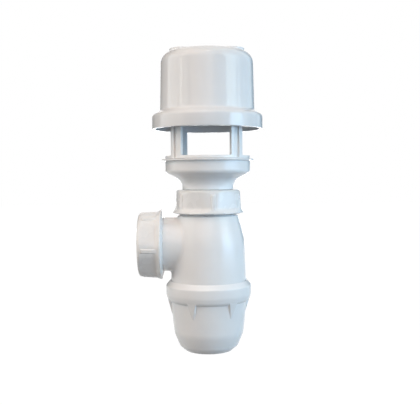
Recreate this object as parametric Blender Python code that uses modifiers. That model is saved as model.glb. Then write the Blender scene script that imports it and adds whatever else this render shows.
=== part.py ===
"""Bottle trap with an air-gap head, for the drain hoses of a water treatment appliance.

From the floor up: a screw-on cup, the trap body with its side outlet, a slip nut on the outlet and
one on the inlet, a dip tube that carries a funnel, an open cage on the funnel's rim, a carrier with
two hose sockets on the cage, and a hood over both. The origin is the middle of the cup's flat base,
+Z is up and the outlet points along -X.
"""
import math

import bmesh
import bpy
from mathutils import Vector

MM = 0.001

# Clearances
TOUCH = 0.3 * MM  # between pieces that rest on each other
THREAD_GAP = 0.4 * MM  # radial, from a thread's crest to the nut or cup round it
PIPE_GAP = 0.5 * MM  # radial, from the pipe to the spigot round it
HOSE_GAP = 0.6 * MM  # radial, from the hose to its guide bore

# Pipe, and the threaded spigot that the inlet and the outlet share
PIPE_OD = 40.0 * MM
PIPE_WALL = 1.9 * MM
SPIGOT_WALL = 2.3 * MM
SPIGOT_LENGTH = 15.9 * MM
THREAD_DEPTH = 1.1 * MM
SEAT_DEPTH = 4.0 * MM
SEAT_RISE = 1.5 * MM
SEAT_GAP = 0.36 * MM  # radial, from the washer's cone to its seat

# Slip nut and its two rings
WASHER_FLANGE = 2.2 * MM
WASHER_TIP = 2.3 * MM  # how far the washer's cone runs into the spigot
SLIP_RING_THICKNESS = 1.4 * MM
NUT_STANDOFF = 0.7 * MM
NUT_ROOF = 2.5 * MM
NUT_WALL = 3.9 * MM
NUT_CROWN = 1.8 * MM  # from the middle of a flat out to the round between the flats
NUT_DRAFT = 1.1 * MM
NUT_LIP_REACH = 1.5 * MM
NUT_LIP_HEIGHT = 2.7 * MM
NUT_LIP_CHAMFER = 2.1 * MM
NUT_MOUTH_LAND = 0.7 * MM  # what that chamfer leaves of the nut's open end
NUT_FLARE_HEIGHT = 8.0 * MM
NUT_FLARE_FILLET = 6.0 * MM
NUT_END_FILLET = 3.0 * MM
NUT_FLAT_LAP = 1.6 * MM  # how far a flat runs down into the flare
NUT_FLAT_SLOPE = 0.8  # drop over reach of the bevel under a flat
NUT_RIBS = 6
NUT_RIB_WIDTH = 3.4 * MM
NUT_RIB_HEIGHT = 0.9 * MM
NUT_RIB_END = 4.0 * MM  # from the top of a rib to the end of the nut
INLET_RIB_TURN = math.radians(9.0)
OUTLET_RIB_TURN = math.radians(-6.5)

# Cup
CUP_HEIGHT = 62.9 * MM
CUP_FLOOR_RADIUS = 21.6 * MM
CUP_WALL = 2.8 * MM
CUP_RING_WALL = 4.0 * MM
CUP_RING_CHAMFER = 4.3 * MM
CUP_RING_FILLET = 1.5 * MM
CUP_RING_TAPER = 1.6 * MM
CUP_RING_TAPER_HEIGHT = 6.0 * MM
CUP_RING_TAPER_FILLET = 6.0 * MM
CUP_MOUTH_LAND = 0.4 * MM  # what the chamfer leaves of the cup's top edge
CUP_LEDGE_DROP = 18.0 * MM  # from the cup's top edge to the ledge under its grip ring
CUP_LEDGE_FILLET = 0.7 * MM
CUP_RING_FOOT_FILLET = 2.0 * MM
CUP_SHOULDER_RISE = 2.5 * MM  # from that ledge up to the seat of the seal inside
CUP_WAIST_RADIUS = 31.2 * MM
CUP_WAIST_HEIGHT = 15.9 * MM
CUP_WAIST_FILLET = 16.0 * MM
CUP_HEEL_RADIUS = 26.4 * MM
CUP_HEEL_HEIGHT = 4.2 * MM
CUP_HEEL_FILLET = 6.0 * MM
CUP_SEAL_THICKNESS = 2.2 * MM
CUP_SEAL_WIDTH = 2.8 * MM
CUP_THREAD_DEPTH = 1.2 * MM
LUG_COUNT = 6
LUG_TURN = math.radians(-24.0)
LUG_TOP_WIDTH = 8.6 * MM
LUG_TIP_WIDTH = 1.4 * MM
LUG_TIP_RISE = 0.3 * MM
LUG_HEIGHT = 12.3 * MM
LUG_LAP = 2.2 * MM  # how far a lug runs up into the grip ring
LUG_INSET = 1.2 * MM  # from the ring's outer side in to a lug's root

# Trap body
BODY_RADIUS = 33.8 * MM
BODY_WALL = 3.4 * MM
BODY_HEIGHT = 58.1 * MM  # from the cup's top edge to the shoulder under the inlet nut
BODY_OVERLAP = 1.0 * MM  # how far the full radius runs down into the cup
BODY_TAPER = 1.4 * MM  # from the radius at the cup in to the one where the shoulder starts
BODY_BREAK_DROP = 21.0 * MM
BODY_BREAK_FILLET = 60.0 * MM
SHOULDER_LEDGE = 2.9 * MM
OUTLET_RISE = 32.2 * MM  # from the cup's top edge to the outlet's axis
OUTLET_REACH = 39.2 * MM  # from the body's axis to the start of the outlet's thread
OUTLET_COLLAR = 0.2 * MM  # how far the outlet's plain part stands over its thread
OUTLET_FILLET_TOP_SHARE = 0.217  # of the step from the outlet's radius out to the body's
OUTLET_FILLET_BOTTOM_SHARE = 0.361
OUTLET_BLEND_SINK = 0.1 * MM  # how far the blend's rims lie under the surfaces they meet
OUTLET_BLEND_ROOT = 1.4 * MM  # how far its hidden side lies under them

# Dip tube and funnel
DIP_TUBE_CLEARANCE = 21.4 * MM  # from the cup's inner floor to the tube's lower end
SOCKET_DEPTH = 9.0 * MM
SOCKET_WALL = 2.5 * MM
FUNNEL_HEIGHT = 27.0 * MM
FUNNEL_RADIUS = 37.9 * MM
FUNNEL_WALL = 2.0 * MM
FUNNEL_FLANGE_RADIUS = 41.0 * MM
FUNNEL_FLANGE_THICKNESS = 1.4 * MM
FUNNEL_BOWL_HEIGHT = 11.8 * MM
FUNNEL_BOWL_FILLET = 4.0 * MM
FUNNEL_FLOOR_DROP = 7.2 * MM  # from the bowl's corner down to the neck's
FUNNEL_FLOOR_WALL = 1.3 * MM  # from the bowl's outer corner up to its inner one
FUNNEL_NECK_FILLET = 10.0 * MM
FUNNEL_THROAT_RISE = 2.2 * MM  # from the tube's stop up to the funnel's floor
FUNNEL_THROAT_FILLET = 1.5 * MM

# Cage
CAGE_RADIUS = 37.8 * MM
CAGE_HEIGHT = 89.0 * MM
CAGE_RING_HEIGHT = 2.5 * MM
CAGE_HOOP_HEIGHT = 6.0 * MM
CAGE_TOP_CHAMFER = 1.2 * MM
CAGE_LIP_DEPTH = 6.0 * MM
CAGE_LIP_WALL = 2.0 * MM
LEG_DEPTH = 2.8 * MM
LEG_COUNT = 4
LEG_ANGLE = math.radians(20.2)
LEG_TURN = math.radians(-2.0)
LEG_FOOT_RADIUS = 1.6 * MM
LEG_GROOVE_ANGLE = math.radians(7.0)
LEG_GROOVE_DEPTH = 1.6 * MM
LEG_GROOVE_START = 0.7 * MM
CAGE_CUTTER_REACH = 1.2  # the cutters' radius over the cage's

# Hose carrier and seals
HOSE_OD = 14.0 * MM
HOSE_SPACING = 42.6 * MM
CARRIER_THICKNESS = 2.8 * MM
CARRIER_MARGIN = 1.4 * MM  # from the cage's outer side in to the plate's edge
CARRIER_EDGE = 0.4 * MM  # what the chamfer leaves of the plate's edge
CARRIER_TOP_MARGIN = 1.5 * MM  # from the flat of the hood's roof in to that chamfer
CARRIER_LIP_DEPTH = 2.0 * MM
CARRIER_LIP_WALL = 1.8 * MM
HOSE_SOCKET_RADIUS = 12.0 * MM
HOSE_SOCKET_RISE = 3.3 * MM  # above the hood's roof
HOSE_SOCKET_CHAMFER = 0.6 * MM
HOSE_SOCKET_DEPTH = 16.0 * MM  # under the carrier plate
HOSE_STOP_DEPTH = 12.0 * MM  # from the carrier plate's underside to the hose's stop
SPOUT_BORE = 11.0 * MM
SPOUT_WALL = 1.5 * MM
SPOUT_LENGTH = 56.0 * MM  # under the carrier plate
SEAL_WALL = 2.0 * MM
SEAL_HEIGHT = 6.0 * MM
SEAL_RECESS = 1.7 * MM  # from the socket's top down to the seal
SEAL_GRIP = 0.2 * MM  # how much narrower than the hose the seal is, radially
SEAL_LEAD_IN = 0.8 * MM

# Hood
HOOD_HEIGHT = 68.4 * MM
HOOD_ROOF = 2.4 * MM
HOOD_WALL = 2.0 * MM
HOOD_TOP_RADIUS = 41.0 * MM
HOOD_BASE_RADIUS = 42.2 * MM
HOOD_SHOULDER_FILLET = 10.5 * MM
HOOD_ROOF_FILLET = 7.0 * MM
HOOD_SKIRT_RADIUS = 49.3 * MM
HOOD_SKIRT_HEIGHT = 12.2 * MM
HOOD_FLARE_HEIGHT = 3.9 * MM
HOOD_FLARE_FILLET = 3.2 * MM
HOOD_SKIRT_FILLET = 3.6 * MM

# How finely the round shapes are cut
TURN_STEPS = 36
RING_STEPS = 28
CAGE_STEPS = 48
SMALL_TURN_STEPS = 24
ARC_STEP = math.radians(31)
COLLAR_STEPS = 32
COLLAR_ARC_STEPS = 4
SHARP_ANGLE = math.radians(38)

# Radii that follow
PIPE_RADIUS = PIPE_OD / 2
SPIGOT_BORE_RADIUS = PIPE_RADIUS + PIPE_GAP
SPIGOT_RADIUS = SPIGOT_BORE_RADIUS + SPIGOT_WALL
THREAD_RADIUS = SPIGOT_RADIUS + THREAD_DEPTH
NUT_BORE_RADIUS = THREAD_RADIUS + THREAD_GAP
NUT_FLAT_RADIUS = NUT_BORE_RADIUS + NUT_WALL
NUT_RADIUS = NUT_FLAT_RADIUS + NUT_CROWN
NUT_LIP_RADIUS = NUT_RADIUS + NUT_LIP_REACH
CUP_BORE_RADIUS = BODY_RADIUS + THREAD_GAP
CUP_RING_RADIUS = CUP_BORE_RADIUS + CUP_RING_WALL
BODY_INNER_RADIUS = BODY_RADIUS - BODY_WALL
BODY_THREAD_RADIUS = BODY_RADIUS - CUP_THREAD_DEPTH
BODY_BREAK_RADIUS = BODY_RADIUS - BODY_TAPER
SHOULDER_RADIUS = THREAD_RADIUS + SHOULDER_LEDGE
OUTLET_RADIUS = THREAD_RADIUS + OUTLET_COLLAR
OUTLET_FILLET_TOP = (BODY_BREAK_RADIUS - OUTLET_RADIUS) * OUTLET_FILLET_TOP_SHARE
OUTLET_FILLET_BOTTOM = (BODY_BREAK_RADIUS - OUTLET_RADIUS) * OUTLET_FILLET_BOTTOM_SHARE
SOCKET_BORE_RADIUS = PIPE_RADIUS + TOUCH
SOCKET_RADIUS = SOCKET_BORE_RADIUS + SOCKET_WALL
BOWL_INNER_RADIUS = FUNNEL_RADIUS - FUNNEL_WALL
CAGE_LIP_RADIUS = BOWL_INNER_RADIUS - TOUCH
CAGE_BORE_RADIUS = CAGE_LIP_RADIUS - CAGE_LIP_WALL
LEG_INNER_RADIUS = CAGE_RADIUS - LEG_DEPTH
HOSE_GUIDE_RADIUS = HOSE_OD / 2 + HOSE_GAP
SEAL_RADIUS = HOSE_OD / 2 + SEAL_WALL
SPOUT_RADIUS = SPOUT_BORE / 2 + SPOUT_WALL
HOOD_ROOF_RADIUS = HOOD_TOP_RADIUS - HOOD_WALL - HOOD_ROOF_FILLET

# Heights that follow, from the floor up
CUP_LEDGE_Z = CUP_HEIGHT - CUP_LEDGE_DROP
CUP_SHOULDER_Z = CUP_LEDGE_Z + CUP_SHOULDER_RISE
BODY_BASE_Z = CUP_SHOULDER_Z + CUP_SEAL_THICKNESS + 2 * TOUCH
OUTLET_Z = CUP_HEIGHT + OUTLET_RISE
SHOULDER_Z = CUP_HEIGHT + BODY_HEIGHT
WASHER_START = SPIGOT_LENGTH + TOUCH
SLIP_RING_START = WASHER_START + WASHER_FLANGE + TOUCH
NUT_ROOF_START = SLIP_RING_START + SLIP_RING_THICKNESS + TOUCH
NUT_END = NUT_ROOF_START + NUT_ROOF
FUNNEL_Z = SHOULDER_Z + NUT_END + TOUCH
FUNNEL_TOP_Z = FUNNEL_Z + FUNNEL_HEIGHT
TUBE_TOP_Z = FUNNEL_Z + SOCKET_DEPTH - TOUCH
TUBE_BASE_Z = CUP_WALL + DIP_TUBE_CLEARANCE
CAGE_Z = FUNNEL_TOP_Z + TOUCH
CAGE_TOP_Z = CAGE_Z + CAGE_HEIGHT
CARRIER_Z = CAGE_TOP_Z + TOUCH
CARRIER_TOP_Z = CARRIER_Z + CARRIER_THICKNESS
HOOD_TOP_Z = CARRIER_TOP_Z + TOUCH + HOOD_ROOF
HOOD_RIM_Z = HOOD_TOP_Z - HOOD_HEIGHT
HOSE_SOCKET_TOP_Z = HOOD_TOP_Z + HOSE_SOCKET_RISE
SEAL_Z = HOSE_SOCKET_TOP_Z - SEAL_RECESS - SEAL_HEIGHT


def clear_scene():
    """Remove what the scene holds."""
    for obj in list(bpy.data.objects):
        bpy.data.objects.remove(obj, do_unlink=True)


def new_collection(name):
    """Make a collection under the scene's own."""
    collection = bpy.data.collections.new(name)
    bpy.context.scene.collection.children.link(collection)
    return collection


def plastic(name, colour, roughness):
    """Make a moulded plastic or rubber material."""
    material = bpy.data.materials.new(name)
    material.use_nodes = True
    shader = material.node_tree.nodes["Principled BSDF"]
    shader.inputs["Base Color"].default_value = (*colour, 1.0)
    shader.inputs["Roughness"].default_value = roughness
    shader.inputs["Metallic"].default_value = 0.0
    return material


def add_object(name, mesh, collection):
    """Link a new object that carries the mesh."""
    obj = bpy.data.objects.new(name, mesh)
    collection.objects.link(obj)
    return obj


def add_tool(obj):
    """Mark an object as a cutter or a joined shape, which is no part by itself."""
    obj.hide_render = True
    obj.display_type = "WIRE"
    return obj


def rounded(corners, closed=True):
    """Return the outline through (r, z, fillet) corners, each fillet drawn as an arc."""
    outline = []
    last = len(corners) - 1
    for i, (r, z, fillet) in enumerate(corners):
        if fillet == 0 or (not closed and i in (0, last)):
            outline.append((r, z))
            continue
        here = Vector((r, z))
        back = (Vector(corners[i - 1][:2]) - here).normalized()
        ahead = (Vector(corners[(i + 1) % len(corners)][:2]) - here).normalized()
        half = back.angle(ahead) / 2
        centre = here + (back + ahead).normalized() * (fillet / math.sin(half))
        start = here + back * (fillet / math.tan(half)) - centre
        end = here + ahead * (fillet / math.tan(half)) - centre
        turn = math.atan2(start.x * end.y - start.y * end.x, start.dot(end))
        steps = max(1, math.ceil(abs(turn) / ARC_STEP))
        for k in range(steps + 1):
            angle = math.atan2(start.y, start.x) + turn * k / steps
            outline.append((centre.x + fillet * math.cos(angle), centre.y + fillet * math.sin(angle)))
    return outline


def turned(name, outline, collection, steps=TURN_STEPS, closed=True):
    """Turn an (r, z) outline about Z. It runs down its outer side."""
    mesh = bpy.data.meshes.new(name)
    count = len(outline)
    edges = [(i, (i + 1) % count) for i in range(count if closed else count - 1)]
    mesh.from_pydata([(r, 0.0, z) for r, z in outline], edges, [])
    obj = add_object(name, mesh, collection)
    screw = obj.modifiers.new("turn", "SCREW")
    screw.angle = 2 * math.pi
    screw.steps = steps
    screw.render_steps = steps
    screw.use_merge_vertices = True
    screw.merge_threshold = 0.001 * MM
    return obj


def combine(obj, tool, operation):
    """Cut, join or intersect with another object."""
    boolean = obj.modifiers.new(operation.lower(), "BOOLEAN")
    boolean.operation = operation
    boolean.solver = "EXACT"
    boolean.object = tool


def mesh_from(name, build, collection):
    """Make an object from a function that fills a bmesh."""
    mesh = bpy.data.meshes.new(name)
    shape = bmesh.new()
    build(shape)
    bmesh.ops.recalc_face_normals(shape, faces=shape.faces)
    shape.to_mesh(mesh)
    shape.free()
    return add_object(name, mesh, collection)


def direction(angle):
    """Point away from the axis: 0 faces the front, -Y, and +90 degrees faces +X."""
    return Vector((math.sin(angle), -math.cos(angle), 0.0))


def add_wedge(shape, angle, low, high):
    """Add a six-sided block that points along an angle.

    low and high give its ends as (z, inner radius, outer radius, width).
    """
    out = direction(angle)
    across = Vector((-out.y, out.x, 0.0))
    cube = bmesh.ops.create_cube(shape, size=2.0)["verts"]
    for vert in cube:
        z, inner, outer, width = high if vert.co.z > 0 else low
        reach = outer if vert.co.x > 0 else inner
        vert.co = out * reach + across * (math.copysign(width / 2, vert.co.y)) + Vector((0.0, 0.0, z))


def add_sector(shape, middle, angle, inner, outer, low, high, foot):
    """Add a slice of a ring, with radial sides, and round its lower and upper side edges."""
    steps = max(2, math.ceil(angle / ARC_STEP))
    turns = [middle - angle / 2 + angle * k / steps for k in range(steps + 1)]
    ring = [direction(turn) * outer for turn in turns]
    if inner == 0:
        ring.append(Vector((0.0, 0.0, 0.0)))
    else:
        ring += [direction(turn) * inner for turn in reversed(turns)]
    floor = [shape.verts.new((point.x, point.y, low)) for point in ring]
    face = shape.faces.new(floor)
    raised = bmesh.ops.extrude_face_region(shape, geom=[face])["geom"]
    top = [item for item in raised if isinstance(item, bmesh.types.BMVert)]
    bmesh.ops.translate(shape, verts=top, vec=(0.0, 0.0, high - low))
    if foot == 0:
        return
    radial = []
    for edge in {edge for vert in floor + top for edge in vert.link_edges}:
        run = edge.verts[1].co - edge.verts[0].co
        ends_on_rim = max(vert.co.xy.length for vert in edge.verts) > outer * 0.999
        if abs(run.z) < foot * 0.01 and ends_on_rim and run.length > (outer - inner) * 0.9:
            radial.append(edge)
    bmesh.ops.bevel(shape, geom=radial, offset=foot, segments=3, profile=0.5, affect="EDGES")


def finish_part(obj, material):
    """Give a part its material, and its modifiers' result as a plain mesh, smooth but for its edges."""
    bpy.context.view_layer.update()
    evaluated = obj.evaluated_get(bpy.context.evaluated_depsgraph_get())
    mesh = bpy.data.meshes.new_from_object(evaluated)
    mesh.name = obj.name
    obj.modifiers.clear()
    obj.data = mesh
    mesh.materials.clear()
    mesh.materials.append(material)
    mesh.shade_smooth()
    mesh.set_sharp_from_angle(angle=SHARP_ANGLE)


def radius_at(side, height):
    """Read the radius of an (r, z) side, listed from the top down, at a height."""
    for (r_high, z_high), (r_low, z_low) in zip(side, side[1:]):
        if z_low <= height <= z_high and z_high > z_low:
            return r_low + (r_high - r_low) * (height - z_low) / (z_high - z_low)
    return side[0][0] if height > side[0][1] else side[-1][0]


def cup(parts, tools):
    """The screw-on cup: a grip ring, a tapering bowl and six lugs under the ring."""
    ledge_radius = CUP_BORE_RADIUS
    bore_radius = ledge_radius - CUP_WALL
    outline = rounded([
        (0.0, CUP_WALL, 0),
        (CUP_FLOOR_RADIUS, CUP_WALL, 0),
        (CUP_HEEL_RADIUS - CUP_WALL, CUP_HEEL_HEIGHT + CUP_WALL, CUP_HEEL_FILLET - CUP_WALL),
        (CUP_WAIST_RADIUS - CUP_WALL, CUP_WAIST_HEIGHT + CUP_WALL / 2, CUP_WAIST_FILLET - CUP_WALL),
        (bore_radius, CUP_SHOULDER_Z, 0),
        (CUP_BORE_RADIUS, CUP_SHOULDER_Z, 0),
        (CUP_BORE_RADIUS, CUP_HEIGHT, 0),
        (CUP_BORE_RADIUS + CUP_MOUTH_LAND, CUP_HEIGHT, 0),
        (CUP_RING_RADIUS, CUP_HEIGHT - CUP_RING_CHAMFER, CUP_RING_FILLET),
        (CUP_RING_RADIUS, CUP_LEDGE_Z + CUP_RING_TAPER_HEIGHT, CUP_RING_TAPER_FILLET),
        (CUP_RING_RADIUS - CUP_RING_TAPER, CUP_LEDGE_Z, CUP_RING_FOOT_FILLET),
        (ledge_radius, CUP_LEDGE_Z, CUP_LEDGE_FILLET),
        (CUP_WAIST_RADIUS, CUP_WAIST_HEIGHT, CUP_WAIST_FILLET),
        (CUP_HEEL_RADIUS, CUP_HEEL_HEIGHT, CUP_HEEL_FILLET),
        (CUP_FLOOR_RADIUS, 0.0, 0),
        (0.0, 0.0, 0),
    ], closed=False)
    obj = turned("cup", outline, parts, closed=False)

    def lugs(shape):
        low = CUP_LEDGE_Z - LUG_HEIGHT
        foot = ledge_radius - (ledge_radius - CUP_WAIST_RADIUS) * LUG_HEIGHT / (CUP_LEDGE_Z - CUP_WAIST_HEIGHT)
        inner = foot - CUP_WALL / 2
        for k in range(LUG_COUNT):
            angle = LUG_TURN + 2 * math.pi * k / LUG_COUNT
            tip = (low, inner, foot + LUG_TIP_RISE, LUG_TIP_WIDTH)
            root = (CUP_LEDGE_Z + LUG_LAP, inner, CUP_RING_RADIUS - LUG_INSET, LUG_TOP_WIDTH)
            add_wedge(shape, angle, tip, root)

    combine(obj, add_tool(mesh_from("cup_lugs", lugs, tools)), "UNION")
    return obj


def cup_seal(parts):
    """The flat rubber ring between the cup's shoulder and the body's lower edge."""
    outer = CUP_BORE_RADIUS - TOUCH
    low = CUP_SHOULDER_Z + TOUCH
    high = low + CUP_SEAL_THICKNESS
    ring = [(outer, high), (outer, low), (outer - CUP_SEAL_WIDTH, low), (outer - CUP_SEAL_WIDTH, high)]
    return turned("cup_seal", ring, parts)


def body_side():
    """The body's outer side, from the shoulder under the nut down to the cup's thread."""
    return rounded([
        (SHOULDER_RADIUS, SHOULDER_Z, 0),
        (BODY_BREAK_RADIUS, SHOULDER_Z - BODY_BREAK_DROP, BODY_BREAK_FILLET),
        (BODY_RADIUS, CUP_HEIGHT - BODY_OVERLAP, 0),
    ], closed=False)


def spigot_bore(base, end, start_radius):
    """The outline of a spigot's bore from its inner end to past its conical seat, as a cutter."""
    return [
        (0.0, end + SEAT_DEPTH),
        (SPIGOT_BORE_RADIUS + 2 * SEAT_RISE, end + SEAT_DEPTH),
        (SPIGOT_BORE_RADIUS, end - SEAT_DEPTH),
        (start_radius, base),
        (0.0, base),
    ]


def outlet_fillet(shape):
    """Fill the corner between the outlet and the body with a soft blend.

    Each section starts on the outlet, bends through the corner and ends on the body. The blend is
    small at the top, where the shoulder is near, and wide at the bottom.
    """
    side = body_side()

    def on_body(across, up, inset):
        radius = radius_at(side, OUTLET_Z + up) - inset
        return Vector((-math.sqrt(radius * radius - across * across), across, OUTLET_Z + up))

    sections = []
    for k in range(COLLAR_STEPS):
        angle = 2 * math.pi * k / COLLAR_STEPS
        blend = OUTLET_FILLET_TOP + (OUTLET_FILLET_BOTTOM - OUTLET_FILLET_TOP) * (1 - math.cos(angle)) / 2
        y = math.sin(angle)
        z = math.cos(angle)
        corner = on_body(OUTLET_RADIUS * y, OUTLET_RADIUS * z, 0.0)
        near = OUTLET_RADIUS - OUTLET_BLEND_SINK
        start = Vector((corner.x - blend, near * y, OUTLET_Z + near * z))
        wide = OUTLET_RADIUS + blend
        end = on_body(wide * y, wide * z, OUTLET_BLEND_SINK)
        points = []
        for step in range(COLLAR_ARC_STEPS + 1):
            t = step / COLLAR_ARC_STEPS
            points.append(start * (1 - t) ** 2 + corner * (2 * t * (1 - t)) + end * t ** 2)
        deep = OUTLET_RADIUS - OUTLET_BLEND_ROOT
        points.append(on_body(wide * y, wide * z, OUTLET_BLEND_ROOT))
        points.append(on_body(deep * y, deep * z, OUTLET_BLEND_ROOT))
        points.append(Vector((start.x, deep * y, OUTLET_Z + deep * z)))
        sections.append([shape.verts.new(point) for point in points])
    count = len(sections[0])
    for k, section in enumerate(sections):
        following = sections[(k + 1) % COLLAR_STEPS]
        for i in range(count):
            j = (i + 1) % count
            shape.faces.new((section[i], section[j], following[j], following[i]))


def trap_body(parts, tools, outlet_axis):
    """The one-piece body: inlet spigot, sloping shoulder, side outlet and the cup's thread."""
    side = body_side()
    thread_top = SHOULDER_Z + SPIGOT_LENGTH
    solid = [(0.0, thread_top), (SPIGOT_RADIUS, thread_top), (SPIGOT_RADIUS, SHOULDER_Z)] + side + [
        (BODY_THREAD_RADIUS, CUP_HEIGHT - BODY_OVERLAP),
        (BODY_THREAD_RADIUS, BODY_BASE_Z),
        (0.0, BODY_BASE_Z),
    ]
    obj = turned("trap_body", solid, parts, closed=False)

    collar = [
        (0.0, OUTLET_REACH + SPIGOT_LENGTH),
        (SPIGOT_RADIUS, OUTLET_REACH + SPIGOT_LENGTH),
        (SPIGOT_RADIUS, OUTLET_REACH),
        (OUTLET_RADIUS, OUTLET_REACH),
        (OUTLET_RADIUS, SPIGOT_BORE_RADIUS / 2),
        (0.0, SPIGOT_BORE_RADIUS / 2),
    ]
    branch = add_tool(turned("outlet_branch", collar, tools, closed=False))
    branch.parent = outlet_axis
    combine(obj, branch, "UNION")
    combine(obj, add_tool(mesh_from("outlet_blend", outlet_fillet, tools)), "UNION")

    below = BODY_BASE_Z - BODY_WALL
    roof_z = SHOULDER_Z - BODY_WALL
    break_z = SHOULDER_Z - BODY_BREAK_DROP
    hollow = [
        (0.0, roof_z),
        (SHOULDER_RADIUS - BODY_WALL, roof_z),
        (BODY_BREAK_RADIUS - BODY_WALL, break_z),
        (BODY_INNER_RADIUS, CUP_HEIGHT - BODY_OVERLAP),
        (BODY_INNER_RADIUS, below),
        (0.0, below),
    ]
    combine(obj, add_tool(turned("body_hollow", hollow, tools, closed=False)), "DIFFERENCE")
    inlet = spigot_bore(roof_z - BODY_WALL, thread_top, SPIGOT_BORE_RADIUS)
    combine(obj, add_tool(turned("inlet_bore", inlet, tools, closed=False)), "DIFFERENCE")
    outlet = spigot_bore(SPIGOT_BORE_RADIUS / 2, OUTLET_REACH + SPIGOT_LENGTH, SPIGOT_BORE_RADIUS)
    bore = add_tool(turned("outlet_bore", outlet, tools, closed=False))
    bore.parent = outlet_axis
    combine(obj, bore, "DIFFERENCE")
    return obj


def slip_nut(name, parts, tools, axis, rib_turn):
    """A slip nut with six flats, a rib between each two and a flared lip at its open end."""
    end_radius = NUT_RADIUS - NUT_DRAFT
    outline = rounded([
        (SPIGOT_BORE_RADIUS, NUT_END, 0),
        (end_radius, NUT_END, NUT_END_FILLET),
        (NUT_RADIUS, NUT_STANDOFF + NUT_FLARE_HEIGHT, NUT_FLARE_FILLET),
        (NUT_LIP_RADIUS, NUT_STANDOFF + NUT_LIP_HEIGHT, 0),
        (NUT_LIP_RADIUS, NUT_STANDOFF + NUT_LIP_CHAMFER, 0),
        (NUT_BORE_RADIUS + NUT_MOUTH_LAND, NUT_STANDOFF, 0),
        (NUT_BORE_RADIUS, NUT_STANDOFF, 0),
        (NUT_BORE_RADIUS, NUT_ROOF_START, 0),
        (SPIGOT_BORE_RADIUS, NUT_ROOF_START, 0),
    ])
    obj = turned(name, outline, parts)
    obj.parent = axis

    corner = 1 / math.cos(math.pi / NUT_RIBS)
    flat_end = NUT_STANDOFF + NUT_FLARE_HEIGHT - NUT_FLAT_LAP
    reach = NUT_LIP_RADIUS - NUT_FLAT_RADIUS + NUT_WALL
    prism = [
        (0.0, NUT_END + NUT_ROOF),
        (NUT_FLAT_RADIUS * corner, NUT_END + NUT_ROOF),
        (NUT_FLAT_RADIUS * corner, flat_end),
        ((NUT_FLAT_RADIUS + reach) * corner, flat_end - reach * NUT_FLAT_SLOPE),
        ((NUT_FLAT_RADIUS + reach) * corner, -NUT_ROOF),
        (0.0, -NUT_ROOF),
    ]
    flats = add_tool(turned(name + "_flats", prism, tools, steps=NUT_RIBS, closed=False))
    flats.parent = axis
    flats.rotation_euler.z = rib_turn - math.pi / 2
    combine(obj, flats, "INTERSECT")

    def ribs(shape):
        low = NUT_STANDOFF + NUT_LIP_HEIGHT
        inner = NUT_FLAT_RADIUS - NUT_WALL / 2
        for k in range(NUT_RIBS):
            angle = rib_turn + 2 * math.pi * k / NUT_RIBS
            foot = (low, inner, NUT_RADIUS + NUT_RIB_HEIGHT, NUT_RIB_WIDTH)
            head = (NUT_END - NUT_RIB_END, inner, end_radius + NUT_RIB_HEIGHT, NUT_RIB_WIDTH)
            add_wedge(shape, angle, foot, head)

    rib = add_tool(mesh_from(name + "_ribs", ribs, tools))
    rib.parent = axis
    combine(obj, rib, "UNION")
    return obj


def slip_ring(name, parts, axis):
    """The flat ring that the nut slides round on, so that the washer isn't twisted."""
    outer = NUT_BORE_RADIUS - THREAD_GAP
    inner = PIPE_RADIUS + TOUCH
    low = SLIP_RING_START
    high = low + SLIP_RING_THICKNESS
    obj = turned(name, [(outer, high), (outer, low), (inner, low), (inner, high)], parts, RING_STEPS)
    obj.parent = axis
    return obj


def conical_washer(name, parts, axis):
    """The rubber washer that the nut presses into the spigot's conical seat, round the pipe."""
    inner = PIPE_RADIUS + TOUCH
    slope = SEAT_RISE / SEAT_DEPTH
    tip = SPIGOT_LENGTH - WASHER_TIP
    tip_radius = SPIGOT_BORE_RADIUS + SEAT_RISE - SEAT_GAP - slope * WASHER_TIP
    outline = [
        (THREAD_RADIUS - TOUCH, WASHER_START + WASHER_FLANGE),
        (THREAD_RADIUS - TOUCH, WASHER_START),
        (tip_radius + slope * (WASHER_START - tip), WASHER_START),
        (tip_radius, tip),
        (inner, tip),
        (inner, WASHER_START + WASHER_FLANGE),
    ]
    obj = turned(name, outline, parts, RING_STEPS)
    obj.parent = axis
    return obj


def dip_tube(parts):
    """The straight tube from the funnel's socket down into the cup."""
    inner = PIPE_RADIUS - PIPE_WALL
    outline = [(PIPE_RADIUS, TUBE_TOP_Z), (PIPE_RADIUS, TUBE_BASE_Z), (inner, TUBE_BASE_Z), (inner, TUBE_TOP_Z)]
    return turned("dip_tube", outline, parts)


def funnel(parts):
    """The funnel: a thin flange, a short bowl, a swept floor and the socket for the dip tube."""
    flange_low = FUNNEL_TOP_Z - FUNNEL_FLANGE_THICKNESS
    bowl_low = FUNNEL_TOP_Z - FUNNEL_BOWL_HEIGHT
    stop_z = FUNNEL_Z + SOCKET_DEPTH
    throat = PIPE_RADIUS - PIPE_WALL
    outline = rounded([
        (BOWL_INNER_RADIUS, FUNNEL_TOP_Z, 0),
        (FUNNEL_FLANGE_RADIUS, FUNNEL_TOP_Z, 0),
        (FUNNEL_FLANGE_RADIUS, flange_low, 0),
        (FUNNEL_RADIUS, flange_low, 0),
        (FUNNEL_RADIUS, bowl_low, FUNNEL_BOWL_FILLET),
        (SOCKET_RADIUS, bowl_low - FUNNEL_FLOOR_DROP, FUNNEL_NECK_FILLET),
        (SOCKET_RADIUS, FUNNEL_Z, 0),
        (SOCKET_BORE_RADIUS, FUNNEL_Z, 0),
        (SOCKET_BORE_RADIUS, stop_z, 0),
        (throat, stop_z, 0),
        (throat, stop_z + FUNNEL_THROAT_RISE, FUNNEL_THROAT_FILLET),
        (BOWL_INNER_RADIUS, bowl_low + FUNNEL_FLOOR_WALL, FUNNEL_BOWL_FILLET),
    ])
    return turned("funnel", outline, parts)


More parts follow.
